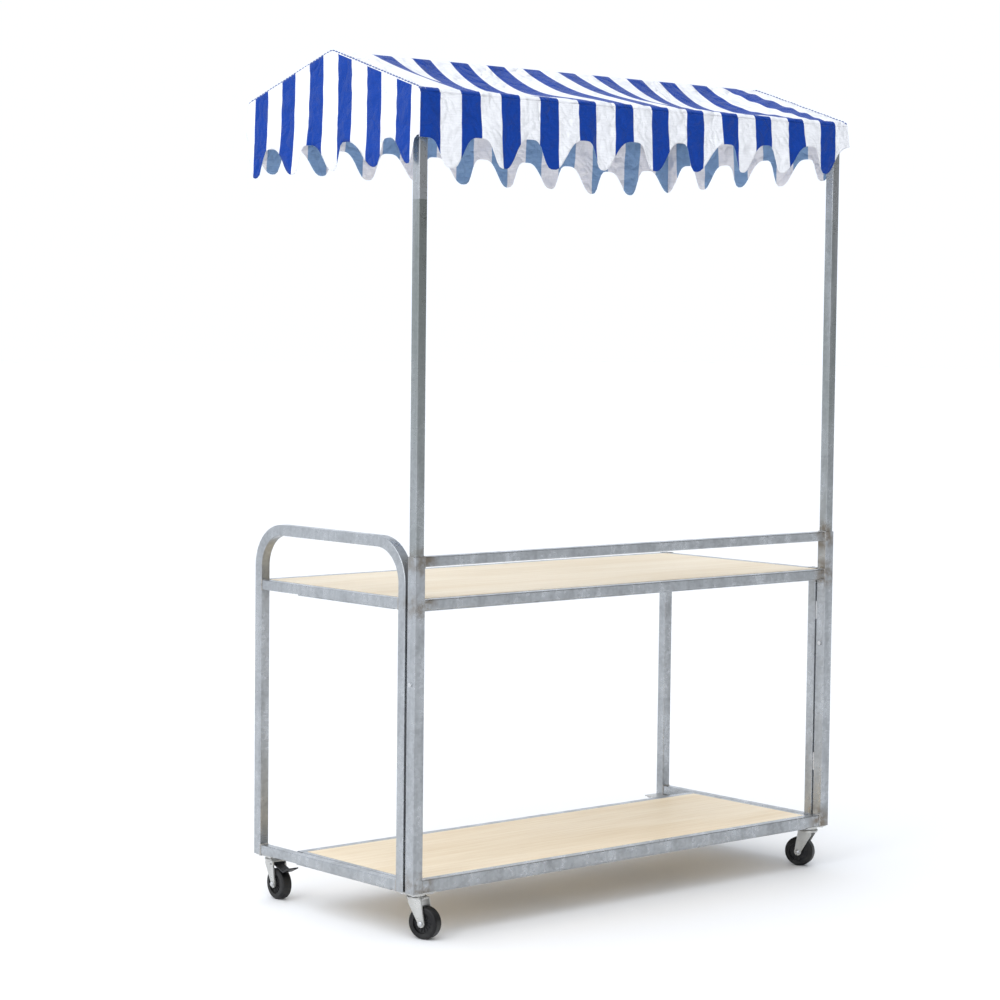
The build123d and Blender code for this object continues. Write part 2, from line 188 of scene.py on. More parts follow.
def scaled(tree: Tree, vector: object, factors: Point) -> bpy.types.NodeSocket:
    """Stretch a pattern's coordinates and return them."""
    return tree.add("ShaderNodeMapping", None, Vector=vector, Scale=factors).outputs[0]


# ---- effects that several finishes share --------------------------------------------
class Effects:
    """Shader node groups, each built once."""

    def __init__(self) -> None:
        """Build every group."""
        self.spangle = self._spangle()
        self.heat = self._weld_heat()
        self.mast = self._mast_shade()
        self.dust = self._dust()
        self.weave = self._weave()
        self.crumple = self._crumple()

    @staticmethod
    def _spangle() -> bpy.types.NodeTree:
        """Crystals, streaks and scuffs of a zinc coat.

        Returns:
            The group, with outputs Shade, Gloss and Height.
        """
        tree, given, out = new_group(
            "Zinc Spangle",
            [("Vector", "NodeSocketVector", None), ("Crystal Scale", "NodeSocketFloat", 90.0),
             ("Strength", "NodeSocketFloat", 1.0)],
            [("Shade", "NodeSocketFloat"), ("Gloss", "NodeSocketFloat"),
             ("Height", "NodeSocketFloat")])
        vector = given.outputs["Vector"]
        crystal = tree.add("ShaderNodeTexVoronoi", None, Vector=vector,
                           Scale=given.outputs["Crystal Scale"])
        tone = tree.add("ShaderNodeSeparateColor", None, Color=crystal.outputs["Color"]).outputs[0]
        cloud = tree.ramp(tree.noise(vector, 16.0, 4.0), 0.36, 0.64)
        streak = tree.ramp(tree.noise(scaled(tree, vector, (60.0, 60.0, 5.0)), 1.0, 3.0), 0.36, 0.64)
        scuff = tree.ramp(tree.noise(scaled(tree, vector, (9.0, 9.0, 60.0)), 3.0, 5.0), 0.60, 0.72)
        mixed = tree.math("ADD", tree.math("MULTIPLY", tone, 0.45), tree.math("MULTIPLY", cloud, 0.40))
        mixed = tree.math("ADD", mixed, tree.math("MULTIPLY", streak, 0.35))
        centred = tree.math("SUBTRACT", mixed, 0.60)
        shade = tree.math("MULTIPLY", centred, given.outputs["Strength"])
        tree.tree.links.new(tree.math("SUBTRACT", shade, tree.math("MULTIPLY", scuff, 0.10)),
                            out.inputs["Shade"])
        tree.tree.links.new(tree.math("ADD", centred, tree.math("MULTIPLY", scuff, 0.4)),
                            out.inputs["Gloss"])
        tree.tree.links.new(tree.math("ADD", tree.math("MULTIPLY", cloud, 0.7),
                                      tree.math("MULTIPLY", tone, 0.2)), out.inputs["Height"])
        return tree.tree

    @staticmethod
    def _weld_heat() -> bpy.types.NodeTree:
        """Brown heat marks round the welds of the front frame.

        Returns:
            The group, with output Mask.
        """
        tree, given, out = new_group(
            "Weld Heat",
            [("Vector", "NodeSocketVector", None), ("Half Length", "NodeSocketFloat", 0.575),
             ("Front", "NodeSocketFloat", -0.2525), ("Reach", "NodeSocketFloat", 0.045)],
            [("Mask", "NodeSocketFloat")])
        parts = tree.add("ShaderNodeSeparateXYZ", None, Vector=given.outputs["Vector"])
        folded = tree.add("ShaderNodeCombineXYZ", None, X=tree.math("ABSOLUTE", parts.outputs[0]),
                          Y=parts.outputs[1], Z=parts.outputs[2])
        nearest = None
        for height in WELD_HEIGHTS:
            weld = tree.add("ShaderNodeCombineXYZ", None, X=given.outputs["Half Length"],
                            Y=given.outputs["Front"], Z=height)
            reach = tree.add("ShaderNodeVectorMath", {"operation": "DISTANCE"},
                             i0=folded.outputs[0], i1=weld.outputs[0]).outputs["Value"]
            nearest = reach if nearest is None else tree.math("MINIMUM", nearest, reach)
        cloud = tree.noise(given.outputs["Vector"], 55.0, 3.0)
        near = tree.ramp(tree.math("DIVIDE", nearest, given.outputs["Reach"]), 0.25, 1.0, 1.0, 0.0)
        tree.tree.links.new(tree.math("MULTIPLY", near, tree.ramp(cloud, 0.32, 0.62)),
                            out.inputs["Mask"])
        return tree.tree

    @staticmethod
    def _mast_shade() -> bpy.types.NodeTree:
        """The masts' own darker tube, with painted shade that deepens upwards towards the canopy.

        Returns:
            The group, with output Mask.
        """
        tree, given, out = new_group(
            "Mast Shade",
            [("Vector", "NodeSocketVector", None), ("Foot", "NodeSocketFloat", 0.7545),
             ("Head", "NodeSocketFloat", 1.4448), ("Front", "NodeSocketFloat", -0.2525)],
            [("Mask", "NodeSocketFloat")])
        parts = tree.add("ShaderNodeSeparateXYZ", None, Vector=given.outputs["Vector"])
        height = parts.outputs[2]
        away = tree.math("ABSOLUTE", tree.math("SUBTRACT", parts.outputs[1],
                                               given.outputs["Front"]))
        inside = tree.math("LESS_THAN", away, 0.012)
        above = tree.math("GREATER_THAN", height, given.outputs["Foot"])
        below = tree.math("LESS_THAN", height, given.outputs["Head"])
        cloud = tree.noise(scaled(tree, given.outputs["Vector"], (20.0, 20.0, 3.0)), 1.0, 4.0)
        # painted shade: the mask grows from 0.55 to full strength as the mast rises towards the canopy
        rise = tree.ramp(height, 0.75, 1.40, 0.55, 1.0)
        mask = tree.math("MULTIPLY", tree.math("MULTIPLY", inside, above),
                         tree.math("MULTIPLY", below, rise))
        tree.tree.links.new(tree.math("MULTIPLY", mask, tree.ramp(cloud, 0.25, 0.6)),
                            out.inputs["Mask"])
        return tree.tree

    @staticmethod
    def _dust() -> bpy.types.NodeTree:
        """Dust that thins out with height above the ground.

        Returns:
            The group, with output Mask.
        """
        tree, given, out = new_group(
            "Road Dust",
            [("Vector", "NodeSocketVector", None), ("Top", "NodeSocketFloat", 0.12)],
            [("Mask", "NodeSocketFloat")])
        parts = tree.add("ShaderNodeSeparateXYZ", None, Vector=given.outputs["Vector"])
        low = tree.math("DIVIDE", parts.outputs[2], given.outputs["Top"])
        fade = tree.ramp(low, 0.0, 1.0, 1.0, 0.0)
        cloud = tree.ramp(tree.noise(given.outputs["Vector"], 40.0, 5.0), 0.42, 0.75)
        tree.tree.links.new(tree.math("MULTIPLY", fade, cloud), out.inputs["Mask"])
        return tree.tree

    @staticmethod
    def _weave() -> bpy.types.NodeTree:
        """A plain weave with slubs.

        Returns:
            The group, with outputs Height and Slub.
        """
        tree, given, out = new_group(
            "Plain Weave",
            [("Vector", "NodeSocketVector", None), ("Threads", "NodeSocketFloat", 900.0)],
            [("Height", "NodeSocketFloat"), ("Slub", "NodeSocketFloat")])
        parts = tree.add("ShaderNodeSeparateXYZ", None, Vector=given.outputs["Vector"])
        turns = tree.math("MULTIPLY", given.outputs["Threads"], 2 * math.pi)
        along = tree.math("ADD", parts.outputs[0], parts.outputs[1])
        warp = tree.math("SINE", tree.math("MULTIPLY", along, turns))
        weft = tree.math("SINE", tree.math("MULTIPLY", parts.outputs[2], turns))
        slub = tree.noise(scaled(tree, given.outputs["Vector"], (1.0, 1.0, 30.0)), 25.0, 4.0)
        tree.tree.links.new(tree.math("MULTIPLY", warp, weft), out.inputs["Height"])
        tree.tree.links.new(slub, out.inputs["Slub"])
        return tree.tree

    @staticmethod
    def _crumple() -> bpy.types.NodeTree:
        """Sharp creases of cloth that has been folded and packed.

        Returns:
            The group, with output Height.
        """
        tree, given, out = new_group(
            "Packed Creases",
            [("Vector", "NodeSocketVector", None), ("Fold Size", "NodeSocketFloat", 26.0)],
            [("Height", "NodeSocketFloat")])
        vector = given.outputs["Vector"]
        bent = tree.add("ShaderNodeVectorMath", {"operation": "ADD"}, i0=vector,
                        i1=scaled(tree, tree.add("ShaderNodeTexNoise", None, Vector=vector,
                                                 Scale=9.0).outputs["Color"],
                                  (0.06, 0.06, 0.06))).outputs[0]
        facets = tree.add("ShaderNodeTexVoronoi", {"feature": "F1"}, Vector=bent,
                          Scale=given.outputs["Fold Size"])
        fine = tree.noise(bent, 60.0, 3.0)
        ridge = tree.math("ABSOLUTE", tree.math("SUBTRACT", tree.noise(bent, 17.0, 2.0), 0.5))
        total = tree.math("ADD", tree.math("MULTIPLY", facets.outputs["Distance"], 0.30),
                          tree.math("MULTIPLY", fine, 0.25))
        tree.tree.links.new(tree.math("ADD", total, tree.math("MULTIPLY", ridge, 1.6)),
                            out.inputs["Height"])
        return tree.tree


# ---- finishes -----------------------------------------------------------------------
def shaded(name: str, **sockets: object) -> tuple[bpy.types.Material, Tree, bpy.types.Node,
                                                  bpy.types.NodeSocket]:
    """Start a material.

    Args:
        name: the material's name.
        sockets: constants for the Principled BSDF's own sockets.

    Returns:
        The material, its tree, the Principled BSDF and the Object coordinates.
    """
    material = bpy.data.materials.new(name)
    material.use_nodes = True
    tree = Tree(material.node_tree)
    shader = material.node_tree.nodes["Principled BSDF"]
    for label, value in sockets.items():
        shader.inputs[label.replace("_", " ")].default_value = value
    place = tree.add("ShaderNodeTexCoord").outputs["Object"]
    return material, tree, shader, place


def use(tree: Tree, group: bpy.types.NodeTree, **inputs: object) -> bpy.types.Node:
    """Place a node group in a material."""
    return tree.add("ShaderNodeGroup", {"node_tree": group}, **inputs)


def bumped(tree: Tree, shader: bpy.types.Node, height: object, depth: float,
           strength: float = 1.0) -> None:
    """Let a height drive the shader's normal."""
    bump = tree.add("ShaderNodeBump", None, Height=height, Distance=depth, Strength=strength)
    tree.tree.links.new(bump.outputs[0], shader.inputs["Normal"])


@dataclass(frozen=True)
class ZincFinish:
    """A zinc coat on steel."""

    name: str
    base: Colour = (0.47, 0.49, 0.51, 1.0)
    dark: Colour = (0.19, 0.20, 0.208, 1.0)
    scorched: Colour = (0.17, 0.135, 0.095, 1.0)
    metallic: float = 0.85
    roughness: float = 0.30
    crystals: float = 170.0
    strength: float = 0.42
    # draws the brown weld heat marks, and the masts' darker tone with painted shade from the canopy
    heat_and_mast_shade: bool = False

    def build(self, effects: Effects) -> bpy.types.Material:
        """Make the material.

        Args:
            effects: the shared effects.

        Returns:
            The material.
        """
        material, tree, shader, place = shaded(self.name, Metallic=self.metallic)
        spangle = use(tree, effects.spangle, Vector=place, Crystal_Scale=self.crystals,
                      Strength=self.strength)
        factor = tree.math("ADD", spangle.outputs["Shade"], 0.72, clamp=True)
        colour = tree.mix(factor, self.dark, self.base)
        if self.heat_and_mast_shade:
            # painted shade on the masts, deepening towards the canopy, over their own darker tube tone
            mast = use(tree, effects.mast, Vector=place)
            colour = tree.mix(tree.math("MULTIPLY", mast.outputs["Mask"], 0.55), colour,
                              (0.12, 0.145, 0.12, 1.0))
            heat = use(tree, effects.heat, Vector=place)
            colour = tree.mix(tree.math("MULTIPLY", heat.outputs["Mask"], 0.85), colour,
                              self.scorched)
        dust = use(tree, effects.dust, Vector=place, Top=0.14)
        colour = tree.mix(tree.math("MULTIPLY", dust.outputs["Mask"], 0.35), colour,
                          (0.42, 0.39, 0.35, 1.0))
        tree.tree.links.new(colour, shader.inputs["Base Color"])
        gloss = tree.math("MULTIPLY", spangle.outputs["Gloss"], 0.22)
        rough = tree.math("SUBTRACT", self.roughness + 0.03, gloss, clamp=True)
        tree.tree.links.new(rough, shader.inputs["Roughness"])
        bumped(tree, shader, spangle.outputs["Height"], 0.0005, 0.25)
        return material


@dataclass(frozen=True)
class RubberFinish:
    """Black rubber or dark moulded plastic."""

    name: str
    base: Colour = (0.006, 0.006, 0.0065, 1.0)
    dusty: Colour = (0.06, 0.058, 0.055, 1.0)
    roughness: float = 0.38
    grain: float = 900.0

    def build(self, effects: Effects) -> bpy.types.Material:
        """Make the material.

        Args:
            effects: the shared effects.

        Returns:
            The material.
        """
        material, tree, shader, place = shaded(self.name, Specular_IOR_Level=0.3)
        dust = use(tree, effects.dust, Vector=place, Top=0.11)
        colour = tree.mix(tree.math("MULTIPLY", dust.outputs["Mask"], 0.45), self.base, self.dusty)
        tree.tree.links.new(colour, shader.inputs["Base Color"])
        worn = tree.math("MULTIPLY", dust.outputs["Mask"], 0.3)
        tree.tree.links.new(tree.math("ADD", worn, self.roughness), shader.inputs["Roughness"])
        bumped(tree, shader, tree.noise(place, self.grain, 3.0), 0.0003, 0.6)
        return material


@dataclass(frozen=True)
class BoardFinish:
    """A pale faced board with fine grain along the cart."""

    name: str = "pale_board"
    light: Colour = (0.87, 0.75, 0.56, 1.0)
    deep: Colour = (0.76, 0.61, 0.40, 1.0)

    def build(self, effects: Effects) -> bpy.types.Material:
        """Make the material.

        Args:
            effects: the shared effects.

        Returns:
            The material.
        """
        material, tree, shader, place = shaded(self.name, Roughness=0.5, Coat_Weight=0.12,
                                               Coat_Roughness=0.35)
        broad = tree.noise(scaled(tree, place, (1.3, 9.0, 9.0)), 1.6, 4.0)
        fine = tree.noise(scaled(tree, place, (5.0, 140.0, 140.0)), 1.0, 5.0)
        pores = tree.ramp(tree.noise(scaled(tree, place, (30.0, 900.0, 900.0)), 1.0, 2.0), 0.62, 0.74)
        grain = tree.math("ADD", tree.math("MULTIPLY", broad, 0.75), tree.math("MULTIPLY", fine, 0.65))
        colour = tree.mix(tree.ramp(grain, 0.45, 0.95), self.light, self.deep)
        colour = tree.mix(tree.math("MULTIPLY", pores, 0.30), colour, (0.42, 0.29, 0.16, 1.0))
        tree.tree.links.new(colour, shader.inputs["Base Color"])
        bumped(tree, shader, tree.math("SUBTRACT", fine, pores), 0.0002, 0.5)
        return material


@dataclass(frozen=True)
class ClothFinish:
    """Striped cloth: the U of its map counts stripe pairs, the V runs down the cloth."""

    name: str
    blue: Colour
    white: Colour
    blue_share: float = 0.49
    roughness: float = 0.50

    def build(self, effects: Effects) -> bpy.types.Material:
        """Make the material.

        Args:
            effects: the shared effects.

        Returns:
            The material.
        """
        material, tree, shader, place = shaded(
            self.name, Specular_IOR_Level=0.16, Sheen_Weight=0.08, Sheen_Roughness=0.4,
            Sheen_Tint=(0.6, 0.75, 1.0, 1.0))
        chart = tree.add("ShaderNodeUVMap", {"uv_map": "Stripes"}).outputs[0]
        across = tree.add("ShaderNodeSeparateXYZ", None, Vector=chart).outputs[0]
        phase = tree.math("FRACT", across)
        rising = tree.ramp(phase, 0.0, 0.012)
        falling = tree.ramp(phase, self.blue_share - 0.012, self.blue_share, 1.0, 0.0)
        stripe = tree.math("MULTIPLY", rising, falling)
        weave = use(tree, effects.weave, Vector=place, Threads=520.0)
        slub = tree.ramp(weave.outputs["Slub"], 0.3, 0.8, 0.93, 1.06)
        colour = tree.mix(stripe, self.white, self.blue)
        tone = tree.add("ShaderNodeVectorMath", {"operation": "SCALE"}, i0=colour, Scale=slub)
        tree.tree.links.new(tone.outputs[0], shader.inputs["Base Color"])
        faded = tree.math("MULTIPLY", weave.outputs["Slub"], 0.12)
        tree.tree.links.new(tree.math("ADD", faded, self.roughness - 0.06),
                            shader.inputs["Roughness"])
        crumple = use(tree, effects.crumple, Vector=place, Fold_Size=17.0)
        height = tree.math("ADD", tree.math("MULTIPLY", crumple.outputs["Height"], 26.0),
                           tree.math("MULTIPLY", weave.outputs["Height"], 0.2))
        bumped(tree, shader, height, 0.0010, 0.7)
        return material


@dataclass(frozen=True)
class ThreadFinish:
    """Twisted sewing thread or piping."""

    name: str
    colour: Colour

    def build(self, effects: Effects) -> bpy.types.Material:
        """Make the material.

        Args:
            effects: the shared effects.

        Returns:
            The material.
        """
        material, tree, shader, place = shaded(self.name, Roughness=0.6, Sheen_Weight=0.2)
        fibre = tree.noise(place, 1400.0, 2.0)
        darker = tuple(c * 0.6 for c in self.colour[:3]) + (1.0,)
        tree.tree.links.new(tree.mix(fibre, darker, self.colour), shader.inputs["Base Color"])
        bumped(tree, shader, fibre, 0.0002, 0.6)
        return material


@dataclass(frozen=True)
class FloorFinish:
    """A plain pale studio floor."""

    name: str = "studio_floor"

    def build(self, effects: Effects) -> bpy.types.Material:
        """Make the material.

        Args:
            effects: the shared effects.

        Returns:
            The material.
        """
        material, tree, shader, place = shaded(self.name, Roughness=0.7)
        pale = tree.mix(tree.noise(place, 0.8, 2.0), (0.86, 0.86, 0.86, 1.0), (0.89, 0.89, 0.89, 1.0))
        tree.tree.links.new(pale, shader.inputs["Base Color"])
        return material


class Workshop:
    """Every finish, built once and handed out by name."""

    def __init__(self) -> None:
        """Build the shared effects and the materials."""
        effects = Effects()
        finishes = [
            ZincFinish("galvanised_tube", heat_and_mast_shade=True),
            ZincFinish("bright_zinc", base=(0.66, 0.67, 0.68, 1.0), dark=(0.38, 0.38, 0.39, 1.0),
                       metallic=0.9, roughness=0.30, crystals=260.0, strength=0.35),
            ZincFinish("fork_zinc", base=(0.60, 0.60, 0.58, 1.0), dark=(0.34, 0.34, 0.33, 1.0),
                       metallic=0.85, roughness=0.34, crystals=320.0, strength=0.3),
            ZincFinish("weld_bead", base=(0.46, 0.45, 0.43, 1.0), dark=(0.16, 0.14, 0.12, 1.0),
                       metallic=0.75, roughness=0.46, crystals=600.0, strength=0.7),
            RubberFinish("tyre_rubber"),
            RubberFinish("hub_plastic", base=(0.022, 0.022, 0.024, 1.0), roughness=0.40),
            RubberFinish("pedal_plastic", base=(0.014, 0.014, 0.016, 1.0), roughness=0.38),
            BoardFinish(),
            ClothFinish("cloth_face", blue=(0.0005, 0.041, 0.30, 1.0), white=(0.87, 0.875, 0.90, 1.0)),
            ClothFinish("cloth_back", blue=(0.22, 0.35, 0.56, 1.0), white=(0.86, 0.84, 0.87, 1.0)),
            ThreadFinish("navy_thread", (0.10, 0.15, 0.36, 1.0)),
            ThreadFinish("white_thread", (0.78, 0.79, 0.82, 1.0)),
            FloorFinish(),
        ]
        self.materials = {finish.name: finish.build(effects) for finish in finishes}

    def __getitem__(self, name: str) -> bpy.types.Material:
        """Return a finish's material."""
        return self.materials[name]

    def dress_nodes(self) -> None:
        """Give every CAD node the material of its slot."""
        by_slot = {Slot.TUBE: "galvanised_tube", Slot.FASTENER: "bright_zinc",
                   Slot.ZINC: "fork_zinc", Slot.TYRE: "tyre_rubber", Slot.HUB: "hub_plastic",
                   Slot.PEDAL: "pedal_plastic", Slot.BOARD: "pale_board",
                   Slot.CLOTH: "cloth_face"}
        for part in frame["record"]["subparts"]:
            node = frame["nodes"][part["node"]]
            material = self[by_slot[Slot(part["material_slot"])]]
            if not node.material_slots:
                node.data.materials.append(material)
            for place in node.material_slots:
                place.material = material


# ---- mesh helpers -------------------------------------------------------------------
def new_piece(name: str, mesh: bpy.types.Mesh) -> bpy.types.Object:
    """Put a finished mesh in the scene.

    Args:
        name: the piece's name.
        mesh: its finished mesh.

    Returns:
        The new object, at the origin.
    """
    piece = bpy.data.objects.new(name, mesh)
    bpy.context.scene.collection.objects.link(piece)
    return piece


def finish_piece(piece: bpy.types.Object, body: str) -> None:
    """Let a piece ride on its body and report it.

    Args:
        piece: the finished piece.
        body: the body that carries it.
    """
    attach(piece, body)
    LOG.info("%s rides on %s, %d faces", piece.name, body, len(piece.data.polygons))


def turned(profile: Sequence[tuple[float, float]], steps: int) -> bmesh.types.BMesh:
    """Spin an outline about Z into a closed shape.

    Args:
        profile: radius and height of each point of the outline.
        steps: how many steps the turn has.

    Returns:
        The shape, with its faces pointing outwards.
    """
    shape = bmesh.new()
    verts = [shape.verts.new((r, 0.0, z)) for r, z in profile]
    edges = [shape.edges.new(pair) for pair in zip(verts, verts[1:])]
    bmesh.ops.spin(shape, geom=verts + edges, cent=(0, 0, 0), axis=(0, 0, 1),
                   angle=2 * math.pi, steps=steps, use_merge=True)
    bmesh.ops.remove_doubles(shape, verts=shape.verts, dist=1e-6)
    bmesh.ops.recalc_face_normals(shape, faces=shape.faces)
    return shape


# ---- Geometry Nodes -----------------------------------------------------------------
class Repeater:
    """Geometry Nodes trees that place small shapes along lines, and turn them to meshes."""

    def __init__(self, workshop: Workshop) -> None:
        """Build the trees.

        Args:
            workshop: the finishes that the repeated shapes get.
        """
        self.workshop = workshop
        self.bead_tree = self._along("Weld Beads", self._bead_shape)
        self.stitch_tree = self._along("Stitches", self._stitch_shape)

    @staticmethod
    def _bead_shape(tree: Tree, given: bpy.types.Node) -> bpy.types.NodeSocket:
        """A small round drop."""
        return tree.add("GeometryNodeMeshIcoSphere", None, Radius=given.outputs["Size"],
                        Subdivisions=2).outputs["Mesh"]

    @staticmethod
    def _stitch_shape(tree: Tree, given: bpy.types.Node) -> bpy.types.NodeSocket:
        """A short thread with round ends, along Z.

        Args:
            tree: the tree to build in.
            given: the tree's input node.

        Returns:
            The shape's socket.
        """
        ball = tree.add("GeometryNodeMeshUVSphere", None, Segments=6, Rings=5,
                        Radius=given.outputs["Size"]).outputs["Mesh"]
        stretch = tree.add("ShaderNodeCombineXYZ", None, X=1.0, Y=1.0,
                           Z=given.outputs["Stretch"]).outputs[0]
        return tree.add("GeometryNodeTransform", None, Geometry=ball, Scale=stretch).outputs[0]

    @staticmethod
    def _along(name: str, shape: Callable[[Tree, bpy.types.Node], bpy.types.NodeSocket]
               ) -> bpy.types.NodeTree:
        """Build a tree that repeats a shape along the edges of a mesh.

        Args:
            name: the tree's name.
            shape: makes the repeated shape from the tree's inputs.

        Returns:
            The tree, with inputs Size, Spacing, Stretch, Unevenness, Seed and Material.
        """
        group = bpy.data.node_groups.new(name, "GeometryNodeTree")
        face = group.interface
        face.new_socket(name="Lines", in_out="INPUT", socket_type="NodeSocketGeometry")
        for label, default in (("Size", 0.002), ("Spacing", 0.002), ("Stretch", 1.0),
                               ("Unevenness", 0.2)):
            face.new_socket(name=label, in_out="INPUT",
                            socket_type="NodeSocketFloat").default_value = default
        face.new_socket(name="Seed", in_out="INPUT", socket_type="NodeSocketInt")
        face.new_socket(name="Material", in_out="INPUT", socket_type="NodeSocketMaterial")
        face.new_socket(name="Row", in_out="OUTPUT", socket_type="NodeSocketGeometry")
        tree = Tree(group)
        given = tree.add("NodeGroupInput")
        out = tree.add("NodeGroupOutput")
        curve = tree.add("GeometryNodeMeshToCurve", None, Mesh=given.outputs["Lines"])
        points = tree.add("GeometryNodeCurveToPoints", {"mode": "LENGTH"},
                          Curve=curve.outputs[0], Length=given.outputs["Spacing"])
        low = tree.math("SUBTRACT", 1.0, given.outputs["Unevenness"])
        high = tree.math("ADD", 1.0, given.outputs["Unevenness"])
        size = tree.add("FunctionNodeRandomValue", {"data_type": "FLOAT"}, i2=low, i3=high,
                        Seed=given.outputs["Seed"])
        placed = tree.add("GeometryNodeInstanceOnPoints", None, Points=points.outputs["Points"],
                          Instance=shape(tree, given), Rotation=points.outputs["Rotation"],
                          Scale=size.outputs[1])
        solid = tree.add("GeometryNodeRealizeInstances", None, Geometry=placed.outputs[0])
        painted = tree.add("GeometryNodeSetMaterial", None, Geometry=solid.outputs[0],
                           Material=given.outputs["Material"])
        group.links.new(painted.outputs[0], out.inputs[0])
        return group

    def run(self, name: str, tree: bpy.types.NodeTree, paths: Iterable[Sequence[Point]],
            material: str, closed: bool = False, **values: float) -> bpy.types.Object:
        """Repeat a tree's shape along paths and return the finished piece.

        Args:
            name: the piece's name.
            tree: the Geometry Nodes tree.
            paths: lines through points, in metres.
            material: the finish's name.
            closed: whether each path joins up with its start.
            values: the tree's inputs by name.

        Returns:
            The piece, as a plain mesh.
        """
        verts, edges = [], []
        for path in paths:
            first = len(verts)
            verts.extend(path)
            edges.extend((first + i, first + i + 1) for i in range(len(path) - 1))
            if closed:
                edges.append((len(verts) - 1, first))
        lines = bpy.data.meshes.new(f"{name}_lines")
        lines.from_pydata(verts, edges, [])
        carrier = new_piece(f"{name}_carrier", lines)
        modifier = carrier.modifiers.new("Repeat", "NODES")
        modifier.node_group = tree
        inputs = {item.name: item.identifier for item in tree.interface.items_tree
                  if item.in_out == "INPUT"}
        for label, value in values.items():
            modifier[inputs[label]] = value
        modifier[inputs["Material"]] = self.workshop[material]
        seen = carrier.evaluated_get(bpy.context.evaluated_depsgraph_get())
        mesh = bpy.data.meshes.new_from_object(seen)
        bpy.data.objects.remove(carrier)
        mesh.name = name
        mesh.shade_smooth()
        return new_piece(name, mesh)


# ---- welds --------------------------------------------------------------------------
@dataclass
class Welds:
    """Rippled beads round the tube joints."""

    repeater: Repeater
    bead: float = 1.7 * MM
    spacing: float = 2.1 * MM

    def _loop(self, node: str, axis: int, end: int) -> list[Point]:
        """The outline of a tube's end, a little outside the tube.

        Args:
            node: the tube's CAD node.
            axis: the way the tube runs: 0 for X, 1 for Y.
            end: 1 for the end furthest along the axis, -1 for the other.

        Returns:
            Points round the tube.
        """
        low, high = (Vector(c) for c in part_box(node))
        u, v = [i for i in range(3) if i != axis]
        at = high[axis] - 0.4 * MM if end > 0 else low[axis] + 0.4 * MM
        corners = ((low[u], low[v]), (high[u], low[v]), (high[u], high[v]), (low[u], high[v]))
        loop = []
        for a, b in zip(corners, corners[1:] + corners[:1]):
            for step in range(6):
                point = [0.0, 0.0, 0.0]
                point[axis] = at
                point[u] = a[0] + (b[0] - a[0]) * step / 6
                point[v] = a[1] + (b[1] - a[1]) * step / 6
                loop.append(tuple(point))
        return loop

    def build(self) -> None:
        """Make one piece of beads for each body that has welds."""
        along_x, along_y = 0, 1
        joints = {
            "cart_frame": [(n, along_x) for n in ("guard_rail", "shelf_front_rail",
                                                  "base_front_rail")]
            + [(n, along_y) for n in ("left_shelf_rail", "left_base_rail", "right_shelf_rail",
                                      "right_base_rail")]}
        for body, tubes in joints.items():
            loops = [self._loop(node, axis, end) for node, axis in tubes for end in (-1, 1)]
            beads = self.repeater.run(f"weld_beads_{body}", self.repeater.bead_tree, loops,
                                      "weld_bead", closed=True, Size=self.bead,
                                      Spacing=self.spacing, Unevenness=0.28, Seed=7)
            finish_piece(beads, body)


# ---- canopy cover -------------------------------------------------------------------
@dataclass
class Hem:
    """The scalloped edge of one side: notches and tongue tips, in mm along and mm high."""

    notches: Sequence[tuple[float, float]]
    tips: Sequence[tuple[float, float]]
    mirrored: bool = False

    def height(self, s: float) -> float:
        """Height of the edge at one place along the side.

        Args:
            s: distance along the side, in metres.

        Returns:
            The height in metres; a tongue is steep on one flank and slants on the other.
        """
        stops = sorted(list(self.notches) + list(self.tips))
        place = s / MM
        if place <= stops[0][0]:
            return stops[0][1] * MM
        for (a, start), (b, end) in zip(stops, stops[1:]):
            if place <= b:
                steep = (end < start) != self.mirrored
                u = (place - a) / (b - a)
                u = u ** 1.25 if end < start else 1 - (1 - u) ** 1.25
                u -= (0.80 if steep else 0.10) * math.sin(2 * math.pi * u) / (2 * math.pi)
                return (start + (end - start) * (0.5 - 0.5 * math.cos(math.pi * u))) * MM
        return stops[-1][1] * MM


